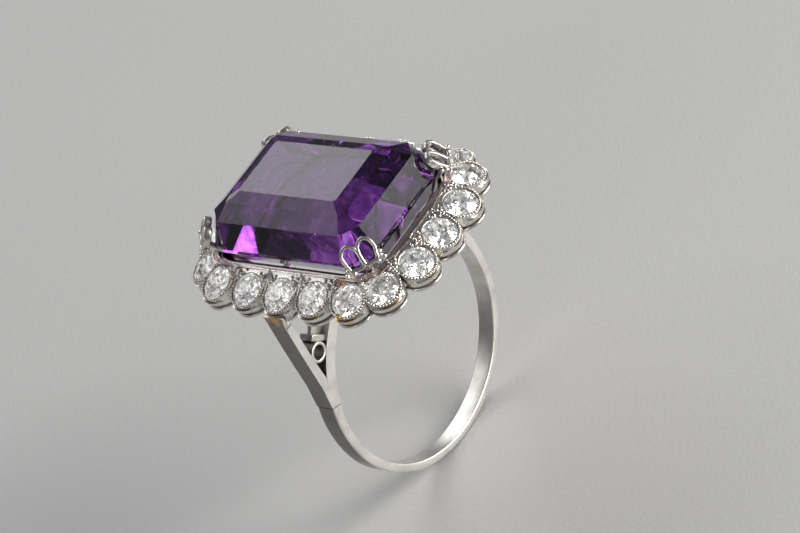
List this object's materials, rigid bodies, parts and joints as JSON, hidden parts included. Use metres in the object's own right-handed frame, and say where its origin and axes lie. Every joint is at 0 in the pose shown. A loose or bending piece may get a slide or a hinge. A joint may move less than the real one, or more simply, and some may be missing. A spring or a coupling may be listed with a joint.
{
  "type": "cocktail ring",
  "caption": "Finger ring with a large rectangular step-cut violet stone in wire claws, a border of small round stones in collets, forked shoulders and a plain shank.",
  "frame": {"origin": "centre of the finger hole, at the middle of the band's width", "axes": "+Y along the finger, +Z from the finger to the head, +X from one shoulder to the other"},
  "size_m": [0.019, 0.0222, 0.0267],
  "materials": {
    "shank_metal": "satin-polished platinum or white gold with fine wear scratches",
    "gallery_metal": "polished platinum or white gold with tarnish in its recesses",
    "border_metal": "bright-cut and beaded platinum or white gold",
    "amethyst": "polished transparent violet stone, step cut",
    "diamond": "polished colourless stone, old brilliant cut"
  },
  "bodies": {
    "root": {"shank": "shank_metal", "finger_rail": "gallery_metal", "gallery_struts": "gallery_metal", "stone_frame": "gallery_metal", "lower_rail": "gallery_metal", "claw_grains": "border_metal", "left_inner_arm": "shank_metal", "left_outer_arm": "shank_metal", "left_fork_tube": "gallery_metal", "left_fork_bridge": "gallery_metal", "right_inner_arm": "shank_metal", "right_outer_arm": "shank_metal", "right_fork_tube": "gallery_metal", "right_fork_bridge": "gallery_metal", "claw_1": "gallery_metal", "claw_2": "gallery_metal", "claw_3": "gallery_metal", "claw_4": "gallery_metal", "centre_stone": "amethyst", "collet_01": "border_metal", "collet_02": "border_metal", "collet_03": "border_metal", "collet_04": "border_metal", "collet_05": "border_metal", "collet_06": "border_metal", "collet_07": "border_metal", "collet_08": "border_metal", "collet_09": "border_metal", "collet_10": "border_metal", "collet_11": "border_metal", "collet_12": "border_metal", "collet_13": "border_metal", "collet_14": "border_metal", "collet_15": "border_metal", "collet_16": "border_metal", "collet_17": "border_metal", "collet_18": "border_metal", "collet_19": "border_metal", "collet_20": "border_metal", "round_stone_01": "diamond", "round_stone_02": "diamond", "round_stone_03": "diamond", "round_stone_04": "diamond", "round_stone_05": "diamond", "round_stone_06": "diamond", "round_stone_07": "diamond", "round_stone_08": "diamond", "round_stone_09": "diamond", "round_stone_10": "diamond", "round_stone_11": "diamond", "round_stone_12": "diamond", "round_stone_13": "diamond", "round_stone_14": "diamond", "round_stone_15": "diamond", "round_stone_16": "diamond", "round_stone_17": "diamond", "round_stone_18": "diamond", "round_stone_19": "diamond", "round_stone_20": "diamond"}
  },
  "joints": []
}
